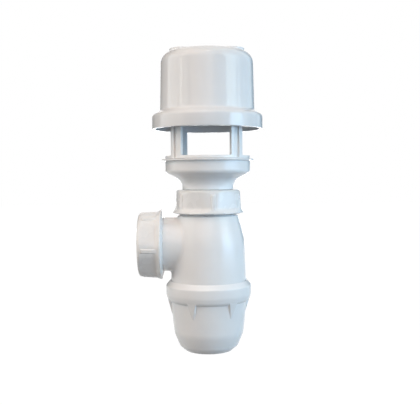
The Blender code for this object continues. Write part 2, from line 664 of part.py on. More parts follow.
def cage(parts, tools):
    """The open basket: a ring on the funnel's flange, four channelled legs and a hoop at the top."""
    outline = [
        (CAGE_RADIUS - CAGE_TOP_CHAMFER, CAGE_TOP_Z),
        (CAGE_RADIUS, CAGE_TOP_Z - CAGE_TOP_CHAMFER),
        (CAGE_RADIUS, CAGE_Z),
        (CAGE_LIP_RADIUS, CAGE_Z),
        (CAGE_LIP_RADIUS, CAGE_Z - CAGE_LIP_DEPTH),
        (CAGE_BORE_RADIUS, CAGE_Z - CAGE_LIP_DEPTH),
        (CAGE_BORE_RADIUS, CAGE_Z + CAGE_RING_HEIGHT),
        (LEG_INNER_RADIUS, CAGE_Z + CAGE_RING_HEIGHT),
        (LEG_INNER_RADIUS, CAGE_TOP_Z),
    ]
    obj = turned("cage", outline, parts, steps=CAGE_STEPS)
    pitch = 2 * math.pi / LEG_COUNT
    outer = CAGE_RADIUS * CAGE_CUTTER_REACH

    def windows(shape):
        for k in range(LEG_COUNT):
            low = CAGE_Z + CAGE_RING_HEIGHT
            high = CAGE_TOP_Z - CAGE_HOOP_HEIGHT
            add_sector(shape, LEG_TURN + k * pitch, pitch - LEG_ANGLE, 0, outer, low, high, LEG_FOOT_RADIUS)

    def grooves(shape):
        for k in range(LEG_COUNT):
            low = CAGE_Z + LEG_GROOVE_START
            high = CAGE_TOP_Z + CAGE_HOOP_HEIGHT
            inner = CAGE_RADIUS - LEG_GROOVE_DEPTH
            add_sector(shape, LEG_TURN + (k + 0.5) * pitch, LEG_GROOVE_ANGLE, inner, outer, low, high, 0)

    combine(obj, add_tool(mesh_from("cage_windows", windows, tools)), "DIFFERENCE")
    combine(obj, add_tool(mesh_from("cage_grooves", grooves, tools)), "DIFFERENCE")
    return obj


def hose_carrier(parts, tools):
    """The plate under the hood's roof, with two hose sockets and their spouts."""
    edge = CAGE_RADIUS - CARRIER_MARGIN
    lip = LEG_INNER_RADIUS - TOUCH
    outline = [
        (0.0, CARRIER_TOP_Z),
        (HOOD_ROOF_RADIUS - CARRIER_TOP_MARGIN, CARRIER_TOP_Z),
        (edge, CARRIER_Z + CARRIER_EDGE),
        (edge, CARRIER_Z),
        (lip, CARRIER_Z),
        (lip, CARRIER_Z - CARRIER_LIP_DEPTH),
        (lip - CARRIER_LIP_WALL, CARRIER_Z - CARRIER_LIP_DEPTH),
        (lip - CARRIER_LIP_WALL, CARRIER_Z),
        (0.0, CARRIER_Z),
    ]
    obj = turned("hose_carrier", outline, parts, closed=False)
    socket_low = CARRIER_Z - HOSE_SOCKET_DEPTH
    spout_low = CARRIER_Z - SPOUT_LENGTH
    stop_z = CARRIER_Z - HOSE_STOP_DEPTH
    socket = [
        (0.0, HOSE_SOCKET_TOP_Z),
        (HOSE_SOCKET_RADIUS - HOSE_SOCKET_CHAMFER, HOSE_SOCKET_TOP_Z),
        (HOSE_SOCKET_RADIUS, HOSE_SOCKET_TOP_Z - HOSE_SOCKET_CHAMFER),
        (HOSE_SOCKET_RADIUS, socket_low),
        (SPOUT_RADIUS, socket_low - (HOSE_SOCKET_RADIUS - SPOUT_RADIUS)),
        (SPOUT_RADIUS, spout_low),
        (0.0, spout_low),
    ]
    bore = [
        (0.0, HOSE_SOCKET_TOP_Z + HOSE_SOCKET_RISE),
        (SEAL_RADIUS + TOUCH, HOSE_SOCKET_TOP_Z + HOSE_SOCKET_RISE),
        (SEAL_RADIUS + TOUCH, SEAL_Z - TOUCH),
        (HOSE_GUIDE_RADIUS, SEAL_Z - TOUCH),
        (HOSE_GUIDE_RADIUS, stop_z),
        (SPOUT_BORE / 2, stop_z),
        (SPOUT_BORE / 2, spout_low - HOSE_SOCKET_RISE),
        (0.0, spout_low - HOSE_SOCKET_RISE),
    ]
    for kind, shape_outline, operation in (("body", socket, "UNION"), ("bore", bore, "DIFFERENCE")):
        for side, x in (("left", -HOSE_SPACING / 2), ("right", HOSE_SPACING / 2)):
            name = "hose_socket_" + kind + "_" + side
            tool = add_tool(turned(name, shape_outline, tools, SMALL_TURN_STEPS, closed=False))
            tool.location.x = x
            combine(obj, tool, operation)
    return obj


def hose_seal(name, parts, x):
    """The rubber sleeve that grips a hose in its socket."""
    high = SEAL_Z + SEAL_HEIGHT
    inner = HOSE_OD / 2 - SEAL_GRIP
    outline = [
        (SEAL_RADIUS, high),
        (SEAL_RADIUS, SEAL_Z),
        (inner, SEAL_Z),
        (inner, high - SEAL_LEAD_IN),
        (inner + SEAL_LEAD_IN, high),
    ]
    obj = turned(name, outline, parts, SMALL_TURN_STEPS)
    obj.location.x = x
    return obj


def hood(parts, tools):
    """The hood: a domed-edge cap with a flared skirt and a hole for each hose socket."""
    flare_low = HOOD_RIM_Z + HOOD_SKIRT_HEIGHT
    flare_high = flare_low + HOOD_FLARE_HEIGHT
    inner_skirt = HOOD_SKIRT_RADIUS - HOOD_WALL
    outline = rounded([
        (0.0, HOOD_TOP_Z, 0),
        (HOOD_TOP_RADIUS, HOOD_TOP_Z, HOOD_SHOULDER_FILLET),
        (HOOD_BASE_RADIUS, flare_high, HOOD_FLARE_FILLET),
        (HOOD_SKIRT_RADIUS, flare_low, HOOD_SKIRT_FILLET),
        (HOOD_SKIRT_RADIUS, HOOD_RIM_Z, 0),
        (inner_skirt, HOOD_RIM_Z, 0),
        (inner_skirt, flare_low - HOOD_WALL / 2, 0),
        (HOOD_BASE_RADIUS - HOOD_WALL, flare_high - HOOD_WALL / 2, 0),
        (HOOD_TOP_RADIUS - HOOD_WALL, HOOD_TOP_Z - HOOD_ROOF, HOOD_ROOF_FILLET),
        (0.0, HOOD_TOP_Z - HOOD_ROOF, 0),
    ], closed=False)
    obj = turned("hood", outline, parts, closed=False)
    hole_radius = HOSE_SOCKET_RADIUS + TOUCH
    hole = [
        (0.0, HOOD_TOP_Z + HOOD_ROOF),
        (hole_radius, HOOD_TOP_Z + HOOD_ROOF),
        (hole_radius, CARRIER_Z),
        (0.0, CARRIER_Z),
    ]
    for side, x in (("left", -HOSE_SPACING / 2), ("right", HOSE_SPACING / 2)):
        tool = add_tool(turned("hood_hole_" + side, hole, tools, SMALL_TURN_STEPS, closed=False))
        tool.location.x = x
        combine(obj, tool, "DIFFERENCE")
    return obj


def main():
    """Build the trap."""
    clear_scene()
    parts = new_collection("bottle_trap")
    tools = new_collection("cutters")
    white = plastic("white_plastic", (0.86, 0.86, 0.85), 0.28)
    tube_white = plastic("tube_plastic", (0.82, 0.82, 0.81), 0.35)
    rubber = plastic("black_rubber", (0.03, 0.03, 0.03), 0.7)
    ring_white = plastic("ring_plastic", (0.8, 0.8, 0.78), 0.45)

    inlet_axis = bpy.data.objects.new("inlet_axis", None)
    inlet_axis.location.z = SHOULDER_Z
    outlet_axis = bpy.data.objects.new("outlet_axis", None)
    outlet_axis.location.z = OUTLET_Z
    outlet_axis.rotation_euler.y = -math.pi / 2
    outlet_nut_axis = bpy.data.objects.new("outlet_nut_axis", None)
    outlet_nut_axis.location = (-OUTLET_REACH, 0.0, OUTLET_Z)
    outlet_nut_axis.rotation_euler.y = -math.pi / 2
    for empty in (inlet_axis, outlet_axis, outlet_nut_axis):
        parts.objects.link(empty)

    made = [
        (cup(parts, tools), white),
        (cup_seal(parts), rubber),
        (trap_body(parts, tools, outlet_axis), white),
        (dip_tube(parts), tube_white),
        (funnel(parts), white),
        (cage(parts, tools), white),
        (hose_carrier(parts, tools), white),
        (hose_seal("hose_seal_left", parts, -HOSE_SPACING / 2), rubber),
        (hose_seal("hose_seal_right", parts, HOSE_SPACING / 2), rubber),
        (hood(parts, tools), white),
    ]
    ports = (("inlet", inlet_axis, INLET_RIB_TURN), ("outlet", outlet_nut_axis, OUTLET_RIB_TURN))
    for port, axis, rib_turn in ports:
        made.append((slip_nut(port + "_nut", parts, tools, axis, rib_turn), white))
        made.append((slip_ring(port + "_slip_ring", parts, axis), ring_white))
        made.append((conical_washer(port + "_washer", parts, axis), rubber))
    for obj, material in made:
        finish_part(obj, material)


main()
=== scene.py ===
"""The looks of the bottle trap with its air-gap head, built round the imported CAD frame.

Each CAD node is replaced by a finer piece of the same size, with rounded edges, threads and a
procedural material. All sizes are in millimetres until a mesh, lamp or camera is made. Outlines
are (radius, height) points, turned about Z.
"""
import math

import bmesh
import bpy
import numpy as np
from mathutils import Matrix, Vector


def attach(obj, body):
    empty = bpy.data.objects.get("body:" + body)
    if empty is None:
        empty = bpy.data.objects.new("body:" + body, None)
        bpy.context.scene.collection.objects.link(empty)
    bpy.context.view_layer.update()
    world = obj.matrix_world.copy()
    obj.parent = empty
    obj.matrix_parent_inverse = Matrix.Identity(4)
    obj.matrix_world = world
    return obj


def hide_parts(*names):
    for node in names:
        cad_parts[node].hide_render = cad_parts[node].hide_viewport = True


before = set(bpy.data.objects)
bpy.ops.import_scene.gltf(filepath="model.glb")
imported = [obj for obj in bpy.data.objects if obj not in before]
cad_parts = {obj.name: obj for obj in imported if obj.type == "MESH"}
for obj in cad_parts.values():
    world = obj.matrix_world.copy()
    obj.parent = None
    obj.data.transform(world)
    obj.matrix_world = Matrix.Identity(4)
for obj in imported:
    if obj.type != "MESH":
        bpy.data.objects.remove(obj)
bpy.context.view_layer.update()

MM = 0.001
EDGE = 0.4  # fillet of a tube's end

# Pipe and threaded spigots
PIPE_RADIUS = 20.0
PIPE_WALL = 1.9
SPIGOT_BORE = 20.5
SPIGOT_RADIUS = 22.8
SPIGOT_LENGTH = 15.9
THREAD_RADIUS = 23.9
THREAD_PITCH = 2.309
THREAD_LOW = 2.2
THREAD_HIGH = 14.6
SEAT_DEPTH = 4.0
SEAT_RISE = 1.5
THREAD_SINK = 0.06  # share of a thread's depth that its foot is sunk in the wall
THREAD_RUN_OUT = 5  # a thread reaches its full depth in a turn divided by this

# Slip nut, from the spigot's shoulder outwards
NUT_START = 0.7
NUT_END = 22.9
NUT_HOLE = 21.5
NUT_ROOF = 20.4
NUT_BORE = 24.3
NUT_FLAT = 28.2
NUT_RADIUS = 30.0
NUT_END_RADIUS = 28.9
NUT_LIP_RADIUS = 31.5
NUT_LIP_TOP = 3.4
NUT_LIP_EDGE = 2.5
NUT_MOUTH = 25.0
NUT_FLARE = 8.0  # where the round begins to curve out to the lip
NUT_FLAT_END = 7.6  # where the flats begin to curve out to it
NUT_FLAT_CURVE = 0.18
NUT_RIBS = 6
NUT_RIB_WIDTH = 3.4
NUT_RIB_RISE = 0.9
NUT_RIB_TOP = 18.9
NUT_RIB_EDGE = 0.45  # half the width of a rib's soft flank
NUT_SOFTNESS = 1.6  # how far the edges between the flats and the rounds are blended
NUT_THREAD_CREST = 23.25
NUT_THREAD_LOW = 3.2
NUT_THREAD_HIGH = 14.0
INLET_RIB_TURN = math.radians(9.0)
OUTLET_RIB_TURN = math.radians(-6.5)

# Washer and slip ring, from the spigot's shoulder outwards
WASHER_RADIUS = 23.1
WASHER_TOP = 18.4
WASHER_RIM = 16.2
WASHER_CONE = 21.75
WASHER_TIP = 20.78
WASHER_LOW = 13.6
RING_RADIUS = 23.9
RING_TOP = 20.1
RING_LOW = 18.7
PACKING_BORE = 20.3

# Cup
CUP_TOP = 62.9
CUP_LEDGE = 44.9
CUP_SHOULDER = 47.4
CUP_WALL = 2.8
CUP_BORE = 34.2
CUP_MOUTH = 34.6
CUP_RING = 38.2
CUP_SLOPE = 4.3  # height of the grip ring's sloping top edge
CUP_WAIST = 31.2
CUP_WAIST_HEIGHT = 15.9
CUP_HEEL = 26.4
CUP_HEEL_HEIGHT = 4.2
CUP_BASE = 21.6
CUP_THREAD_PITCH = 4.0
CUP_THREAD_CREST = 33.2
CUP_THREAD_LOW = 51.6
CUP_THREAD_HIGH = 60.6
SEAL_RADIUS = 33.9
SEAL_INNER = 31.1
SEAL_BASE = 47.7
SEAL_FACE = 49.9
LUG_COUNT = 6
LUG_TURN = math.radians(-24.0)
LUG_HEIGHT = 12.3
LUG_LAP = 2.2  # how far a lug runs up into the grip ring
LUG_TOP_WIDTH = 8.6
LUG_TIP_WIDTH = 1.4
LUG_TOP_RADIUS = 37.0
LUG_TIP_RISE = 0.3
LUG_EDGE = 0.5  # half the width of a lug's soft flank

# Trap body
BODY_BASE = 50.2
BODY_RADIUS = 33.8
BODY_INNER = 30.4
BODY_THREAD_ROOT = 32.6
BODY_THREAD_LOW = 52.6
BODY_THREAD_HIGH = 60.4
BODY_THREAD_END = CUP_TOP - 1.0  # the step from the thread's root to the body, just inside the cup
BODY_BREAK_RADIUS = 32.4
BODY_BREAK = 100.0
BODY_WALL = 3.4
SHOULDER = 121.0
SHOULDER_RADIUS = 26.8
OUTLET_HEIGHT = 95.1
OUTLET_REACH = 39.2
OUTLET_RADIUS = 24.1
BRANCH_DEPTH = 28.0  # how far the outlet's tube runs into the body before that is hollowed
COLLAR_HEIGHT = 1.4  # how far the plain part runs in under the nut
BLEND_TOP = 1.8
BLEND_BOTTOM = 3.0

# Dip tube, funnel, cage
TUBE_BASE = 24.2
TUBE_TOP = 152.9
FUNNEL_BASE = 144.2
FUNNEL_TOP = 171.2
FUNNEL_RADIUS = 37.9
FUNNEL_INNER = 35.9
FUNNEL_FLANGE = 41.0
FLANGE_THICKNESS = 1.4
FUNNEL_FLOOR = 2.2
FUNNEL_CORNER = 159.4
FUNNEL_INNER_CORNER = 160.7
FUNNEL_NECK = 152.2
SOCKET_RADIUS = 22.8
SOCKET_BORE = 20.3
SOCKET_STOP = 153.2
CAGE_BASE = 171.5
CAGE_TOP = 260.5
CAGE_RADIUS = 37.8
CAGE_INNER = 35.0
CAGE_BORE = 33.6
CAGE_LIP = 35.6
CAGE_LIP_DEPTH = 6.0
CAGE_CHAMFER = 1.2
LEG_COUNT = 4
LEG_ANGLE = math.radians(20.2)
LEG_TURN = math.radians(-2.0)
WINDOW_LOW = 174.0
WINDOW_HIGH = 254.5
WINDOW_CORNER = 1.6
GROOVE_ANGLE = math.radians(7.0)
GROOVE_DEPTH = 1.6
GROOVE_RISE = 0.7  # from the cage's ring to a groove's foot
CUTTER_INNER = 20.0
CUTTER_OUTER = 45.0
CUTTER_PAST = 5.0  # how far a cutter runs past an open end

# Hose carrier, seals, hood
CARRIER_BASE = 260.8
CARRIER_TOP = 263.6
CARRIER_RADIUS = 36.4
CARRIER_FLAT = 30.5
CARRIER_EDGE = 1.0
CARRIER_PLUG = 34.7
CARRIER_PLUG_INNER = 32.9
CARRIER_PLUG_DEPTH = 2.0
HOSE_PLACES = (("left", -21.3), ("right", 21.3))
HOSE_SOCKET = 12.0
HOSE_SOCKET_TOP = 269.6
HOSE_SOCKET_LOW = 244.8
HOSE_STOP = 248.8
HOSE_GUIDE = 7.6
SLEEVE_SEAT = 9.3
SLEEVE_RADIUS = 9.0
SLEEVE_BORE = 6.8
SLEEVE_LOW = 261.9
SLEEVE_TOP = 267.9
SLEEVE_GAP = 0.3
SPOUT_RADIUS = 7.0
SPOUT_BORE = 5.5
SPOUT_END = 204.8
BORE_PAST = 3.0  # how far a bore's cutter runs past its open ends
HOOD_TOP = 266.3
HOOD_RIM = 197.9
HOOD_ROOF = 2.4
HOOD_WALL = 2.0
HOOD_TOP_RADIUS = 41.0
HOOD_BASE_RADIUS = 42.2
HOOD_SKIRT_RADIUS = 49.3
HOOD_FLARE_LOW = 210.1
HOOD_FLARE_HIGH = 214.0
HOOD_FLARE_DROP = 1.0  # how much lower the flare starts and ends inside
HOOD_HOLE = 12.3

# Floor, and the dark cards behind the object, to either side of the picture
FLOOR_REACH = 3000.0
CARD_DISTANCE = 1500.0
CARD_HEIGHT = 1700.0
CARD_START = math.radians(18.0)  # from straight behind to a card's near side
LEFT_CARD_END = math.radians(68.0)
RIGHT_CARD_END = math.radians(42.0)

# How finely the shapes are cut
TURNS = np.radians(np.arange(0.0, 360.0, 2.5))
SMALL_TURNS = np.radians(np.arange(0.0, 360.0, 6.0))
ARC_STEP = math.radians(11)
SHARP_ANGLE = math.radians(32)
MERGE_DISTANCE = 0.001
FACE_DISTANCE = 0.0005  # a face that is thinner than this is dropped

# Scales of the noises in the moulded materials, per metre
MOTTLE_SCALE = 42.0
GLOSS_SCALE = 95.0
SINK_SCALE = 70.0
GRAIN_SCALE = 2600.0
NOISE_MIDDLE = (0.3, 0.7)  # the range that nearly all of a noise falls in

# The photograph's camera
FRAME_WIDTH = 420
SENSOR = 36.0
FOCAL_PIXELS = 667.0
CAMERA_PLACE = (1.84, -600.0, 156.4)
CAMERA_PITCH = math.radians(2.3)
CAMERA_ROLL = math.radians(0.44)


def rounded(corners, closed=True):
    """Return the outline through (r, z, fillet) corners, each fillet drawn as an arc."""
    outline = []
    last = len(corners) - 1
    for i, (r, z, fillet) in enumerate(corners):
        if fillet == 0 or (not closed and i in (0, last)):
            outline.append((r, z))
            continue
        here = np.array((r, z))
        back = np.array(corners[i - 1][:2]) - here
        ahead = np.array(corners[(i + 1) % len(corners)][:2]) - here
        back /= np.linalg.norm(back)
        ahead /= np.linalg.norm(ahead)
        half = math.acos(np.clip(back @ ahead, -1.0, 1.0)) / 2
        middle = back + ahead
        centre = here + middle / np.linalg.norm(middle) * (fillet / math.sin(half))
        start = here + back * (fillet / math.tan(half)) - centre
        end = here + ahead * (fillet / math.tan(half)) - centre
        turn = math.atan2(start[0] * end[1] - start[1] * end[0], start @ end)
        steps = max(2, math.ceil(abs(turn) / ARC_STEP))
        first = math.atan2(start[1], start[0])
        for k in range(steps + 1):
            angle = first + turn * k / steps
            r, z = centre + fillet * np.array((math.cos(angle), math.sin(angle)))
            outline.append((r, z))
    return outline


def dense(outline, step, low, high):
    """Add points to an outline, so that its outer sides are step long at most from low to high."""
    result = [outline[0]]
    for (r0, z0), (r1, z1) in zip(outline, outline[1:]):
        crosses = min(z0, z1) < high and max(z0, z1) > low and min(r0, r1) > SPIGOT_RADIUS
        count = max(1, math.ceil(math.hypot(r1 - r0, z1 - z0) / step)) if crosses else 1
        for k in range(1, count + 1):
            result.append((r0 + (r1 - r0) * k / count, z0 + (z1 - z0) * k / count))
    return result


def turned(outline, turns=TURNS, closed=True, side=None):
    """Points and faces of an (r, z) outline turned about Z. side may change the radii."""
    r, z = np.array(outline, float).T
    radii = np.repeat(r[:, None], len(turns), axis=1)
    heights = np.repeat(z[:, None], len(turns), axis=1)
    if side:
        radii = side(radii, heights, turns)
    points = np.stack([radii * np.cos(turns), radii * np.sin(turns), heights], axis=-1)
    index = np.arange(radii.size).reshape(radii.shape)
    below = np.roll(index, -1, axis=0)
    if not closed:
        index = index[:-1]
        below = below[:-1]
    order = [index, below, np.roll(below, -1, axis=1), np.roll(index, -1, axis=1)]
    return points.reshape(-1, 3), np.stack(order, axis=-1).reshape(-1, 4)


def joined_round(sections):
    """Points and faces of closed sections joined in a closed round."""
    points = np.array(sections)
    index = np.arange(points.shape[0] * points.shape[1]).reshape(points.shape[:2])
    beside = np.roll(index, -1, axis=1)
    order = [index, beside, np.roll(beside, -1, axis=0), np.roll(index, -1, axis=0)]
    return points.reshape(-1, 3), np.stack(order, axis=-1).reshape(-1, 4)


def joined_row(sections, flipped=False):
    """Points and faces of closed sections joined in a row, with a cap at each end."""
    points = np.array(sections)
    index = np.arange(points.shape[0] * points.shape[1]).reshape(points.shape[:2])
    beside = np.roll(index, -1, axis=1)
    order = [index[:-1], beside[:-1], beside[1:], index[1:]]
    caps = [index[0][::-1].tolist(), index[-1].tolist()]
    if flipped:
        order = [order[0], *order[:0:-1]]
        caps = [cap[::-1] for cap in caps]
    faces = np.stack(order, axis=-1).reshape(-1, 4).tolist()
    return points.reshape(-1, 3), faces + caps


def thread(root, crest, pitch, low, high, base_width, crest_width, phase=0.0, steps=56):
    """Points and faces of a right-handed helical ridge that runs out smoothly at both ends.

    The ridge stands out of a spigot where its crest is wider than its root, else into a bore.
    """
    turns = (high - low) / pitch
    count = math.ceil(turns * steps)
    sections = []
    for k in range(count + 1):
        along = turns * k / count
        fade = min(1.0, along * THREAD_RUN_OUT, (turns - along) * THREAD_RUN_OUT)
        fade = fade * fade * (3 - 2 * fade)
        angle = 2 * math.pi * along + phase
        z = low + along * pitch
        foot = root + (root - crest) * THREAD_SINK
        tip = foot + (crest - foot) * fade
        profile = (
            (foot, -base_width / 2),
            (tip, -crest_width / 2),
            (tip, crest_width / 2),
            (foot, base_width / 2),
        )
        turn = np.array((math.cos(angle), math.sin(angle)))
        sections.append([(*(r * turn), z + rise) for r, rise in profile])
    return joined_row(sections, flipped=crest > root)


def at_outlet(points):
    """Turn points about the spigot's own axis to the side outlet."""
    x, y, z = np.asarray(points).T
    return np.stack([-OUTLET_REACH - z, y, OUTLET_HEIGHT + x], axis=-1)


def at_inlet(points):
    """Lift points about the spigot's own axis to the inlet."""
    return np.asarray(points) + (0.0, 0.0, SHOULDER)


def new_mesh(name, points, faces):
    """Make a mesh from points in millimetres."""
    mesh = bpy.data.meshes.new(name)
    mesh.from_pydata((np.asarray(points) * MM).tolist(), [], [list(face) for face in faces])
    return mesh


def new_object(name, points, faces):
    """Make a mesh object, with points that fall together merged."""
    mesh = new_mesh(name, points, faces)
    shape = bmesh.new()
    shape.from_mesh(mesh)
    bmesh.ops.remove_doubles(shape, verts=shape.verts, dist=MERGE_DISTANCE * MM)
    shape.to_mesh(mesh)
    shape.free()
    obj = bpy.data.objects.new(name, mesh)
    bpy.context.scene.collection.objects.link(obj)
    return obj


def settle(obj):
    """Apply an object's modifiers and drop faces that have no area."""
    bpy.context.view_layer.update()
    finished = obj.evaluated_get(bpy.context.evaluated_depsgraph_get())
    mesh = bpy.data.meshes.new_from_object(finished)
    obj.modifiers.clear()
    obj.data = mesh
    shape = bmesh.new()
    shape.from_mesh(mesh)
    bmesh.ops.dissolve_degenerate(shape, dist=FACE_DISTANCE * MM, edges=shape.edges)
    shape.to_mesh(mesh)
    shape.free()


def combine(obj, tools):
    """Join or cut an object with (operation, points, faces) shapes."""
    made = []
    for k, (operation, points, faces) in enumerate(tools):
        tool = new_object(obj.name + "_tool", points, faces)
        made.append(tool)
        boolean = obj.modifiers.new("tool_" + str(k), "BOOLEAN")
        boolean.operation = operation
        boolean.solver = "EXACT"
        boolean.object = tool
    settle(obj)
    for tool in made:
        bpy.data.objects.remove(tool, do_unlink=True)


def soften(obj, width, limit):
    """Round the edges of a shape that has been cut, where they turn by more than limit."""
    bevel = obj.modifiers.new("soften", "BEVEL")
    bevel.width = width * MM
    bevel.segments = 2
    bevel.limit_method = "ANGLE"
    bevel.angle_limit = limit
    settle(obj)


def add_shape(obj, points, faces):
    """Add a closed shape to an object's mesh as it is."""
    extra = new_mesh("extra", points, faces)
    shape = bmesh.new()
    shape.from_mesh(obj.data)
    shape.from_mesh(extra)
    shape.to_mesh(obj.data)
    shape.free()
    bpy.data.meshes.remove(extra)


def finish_piece(obj, material, body, node):
    """Give a piece its material, its shading and its place in the frame."""
    mesh = obj.data
    mesh.materials.clear()
    mesh.materials.append(material)
    mesh.polygons.foreach_set("material_index", np.zeros(len(mesh.polygons), np.int32))
    mesh.shade_smooth()
    mesh.set_sharp_from_angle(angle=SHARP_ANGLE)
    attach(obj, body)
    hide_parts(node)


def smooth_min(a, b, reach):
    """The smaller of two values, with a rounded change from one to the other."""
    mix = np.clip(0.5 + 0.5 * (b - a) / reach, 0.0, 1.0)
    return b * (1 - mix) + a * mix - reach * mix * (1 - mix)


def smooth_step(value, low, high):
    """Go from 0 at low to 1 at high without a corner."""
    t = np.clip((value - low) / (high - low), 0.0, 1.0)
    return t * t * (3 - 2 * t)


def off_nearest(turns, first, count):
    """The angle from the nearest of count equally spaced directions. The first is given from -Y."""
    pitch = 2 * math.pi / count
    return (turns + math.pi / 2 - first + pitch / 2) % pitch - pitch / 2


def fine_turns(first, count, half_width, step, rest):
    """Angles that are step apart round each of count directions, and about rest apart between."""
    pitch = 2 * math.pi / count
    near = np.arange(-half_width, half_width + step / 2, step)
    gap = pitch - 2 * half_width
    far_count = max(1, round(gap / rest))
    far = half_width + gap * np.arange(1, far_count) / far_count
    one = np.concatenate([near, far])
    return np.sort(np.concatenate([one + first - math.pi / 2 + k * pitch for k in range(count)]))


# Materials

def noise(nodes, links, scale, detail, coordinates):
    """Add a noise texture in the object's own coordinates."""
    texture = nodes.new("ShaderNodeTexNoise")
    texture.inputs["Scale"].default_value = scale
    texture.inputs["Detail"].default_value = detail
    links.new(coordinates, texture.inputs["Vector"])
    return texture.outputs["Fac"]


def remap(nodes, links, value, low, high):
    """Map the middle of a noise onto a range."""
    ramp = nodes.new("ShaderNodeMapRange")
    names = ("From Min", "From Max", "To Min", "To Max")
    for name, number in zip(names, (*NOISE_MIDDLE, low, high)):
        ramp.inputs[name].default_value = number
    links.new(value, ramp.inputs["Value"])
    return ramp.outputs["Result"]


def moulded(name, light, dark, roughness, grain, wave):
    """Make a moulded material: faint mottling, uneven gloss, fine grain and slow sink marks.

    The mottling runs from the dark to the light colour, the gloss over the range of roughness.
    """
    material = bpy.data.materials.new(name)
    material.use_nodes = True
    nodes = material.node_tree.nodes
    links = material.node_tree.links
    shader = nodes["Principled BSDF"]
    place = nodes.new("ShaderNodeTexCoord").outputs["Object"]

    mix = nodes.new("ShaderNodeMix")
    mix.data_type = "RGBA"
    mix.inputs["A"].default_value = (*dark, 1.0)
    mix.inputs["B"].default_value = (*light, 1.0)
    mottling = noise(nodes, links, MOTTLE_SCALE, 4.0, place)
    links.new(remap(nodes, links, mottling, 0.0, 1.0), mix.inputs["Factor"])
    links.new(mix.outputs["Result"], shader.inputs["Base Color"])

    gloss = noise(nodes, links, GLOSS_SCALE, 1.0, place)
    links.new(remap(nodes, links, gloss, *roughness), shader.inputs["Roughness"])

    normal = None
    for scale, detail, height in ((SINK_SCALE, 1.0, wave), (GRAIN_SCALE, 2.0, grain)):
        bump = nodes.new("ShaderNodeBump")
        bump.inputs["Strength"].default_value = 1.0
        bump.inputs["Distance"].default_value = height * MM
        links.new(noise(nodes, links, scale, detail, place), bump.inputs["Height"])
        if normal:
            links.new(normal, bump.inputs["Normal"])
        normal = bump.outputs["Normal"]
    links.new(normal, shader.inputs["Normal"])

    shader.inputs["IOR"].default_value = 1.49
    shader.inputs["Subsurface Weight"].default_value = 0.2
    shader.inputs["Subsurface Radius"].default_value = (1.0, 0.9, 0.8)
    shader.inputs["Subsurface Scale"].default_value = 1.5 * MM
    return material


hood_white = moulded(
    "hood_plastic", light=(0.775, 0.785, 0.80), dark=(0.745, 0.755, 0.77), roughness=(0.11, 0.15),
    grain=0.001, wave=0.05,
)
trap_white = moulded(
    "trap_plastic", light=(0.86, 0.865, 0.87), dark=(0.82, 0.825, 0.835), roughness=(0.20, 0.24),
    grain=0.001, wave=0.06,
)
nut_white = moulded(
    "nut_plastic", light=(0.83, 0.83, 0.83), dark=(0.80, 0.80, 0.80), roughness=(0.24, 0.29),
    grain=0.001, wave=0.02,
)
tube_white = moulded(
    "tube_plastic", light=(0.78, 0.78, 0.775), dark=(0.74, 0.74, 0.735), roughness=(0.28, 0.40),
    grain=0.001, wave=0.05,
)
ring_white = moulded(
    "ring_plastic", light=(0.74, 0.74, 0.72), dark=(0.69, 0.69, 0.67), roughness=(0.42, 0.55),
    grain=0.002, wave=0.02,
)
rubber = moulded(
    "seal_rubber", light=(0.035, 0.035, 0.036), dark=(0.022, 0.022, 0.023), roughness=(0.55, 0.75),
    grain=0.02, wave=0.02,
)


# The cup and its seal

def cup_lugs(radii, heights, turns):
    """Raise the lugs under the grip ring."""
    low = CUP_LEDGE - LUG_HEIGHT
    share = np.clip((heights - low) / (LUG_HEIGHT + LUG_LAP), 0.0, 1.0)
    drop = (CUP_BORE - CUP_WAIST) * LUG_HEIGHT / (CUP_LEDGE - CUP_WAIST_HEIGHT)
    foot = CUP_BORE - drop + LUG_TIP_RISE
    face = foot + (LUG_TOP_RADIUS - foot) * share
    half = (LUG_TIP_WIDTH + (LUG_TOP_WIDTH - LUG_TIP_WIDTH) * share) / 2
    off = off_nearest(turns, LUG_TURN, LUG_COUNT)
    across = np.abs(radii * np.sin(off))
    flank = 1 - smooth_step(across, half - LUG_EDGE, half + LUG_EDGE)
    within = smooth_step(heights, low - 0.5, low + 0.7)
    outside = (radii > CUP_BORE - CUP_WALL + 0.2) & (heights < CUP_LEDGE + LUG_LAP)
    raised = np.maximum(radii, face / np.cos(off))
    blend = flank * within * outside
    return radii * (1 - blend) + raised * blend


cup_outer = dense(rounded([
    (CUP_MOUTH, CUP_TOP, 0.3),
    (CUP_RING, CUP_TOP - CUP_SLOPE, 1.5),
    (CUP_RING, CUP_LEDGE + 6.0, 8.0),
    (CUP_RING - 1.2, CUP_LEDGE + 1.7, 4.0),
    (CUP_RING - 2.8, CUP_LEDGE, 0.8),
    (CUP_BORE, CUP_LEDGE, 0.7),
    (CUP_WAIST, CUP_WAIST_HEIGHT, 16.0),
    (CUP_HEEL, CUP_HEEL_HEIGHT, 6.0),
    (CUP_BASE, 0.0, 0.8),
    (0.0, 0.0, 0),
], closed=False), 0.5, CUP_LEDGE - LUG_HEIGHT - 2.0, CUP_LEDGE + LUG_LAP + 0.5)
cup_inner = rounded([
    (0.0, CUP_WALL, 0),
    (CUP_BASE, CUP_WALL, 2.0),
    (CUP_HEEL - CUP_WALL, 7.0, 3.2),
    (CUP_WAIST - CUP_WALL, 17.3, 13.2),
    (CUP_BORE - CUP_WALL, CUP_SHOULDER, 0.3),
    (CUP_BORE, CUP_SHOULDER, 0),
    (CUP_BORE, CUP_TOP, 0.3),
    (CUP_MOUTH, CUP_TOP, 0),
], closed=False)
cup_turns = fine_turns(
    LUG_TURN, LUG_COUNT,
    half_width=math.radians(8.5), step=math.radians(0.42), rest=math.radians(2.4),
)
points, faces = turned(cup_inner[:-1] + cup_outer, cup_turns, closed=False, side=cup_lugs)
cup = new_object("cup_shell", points, faces)
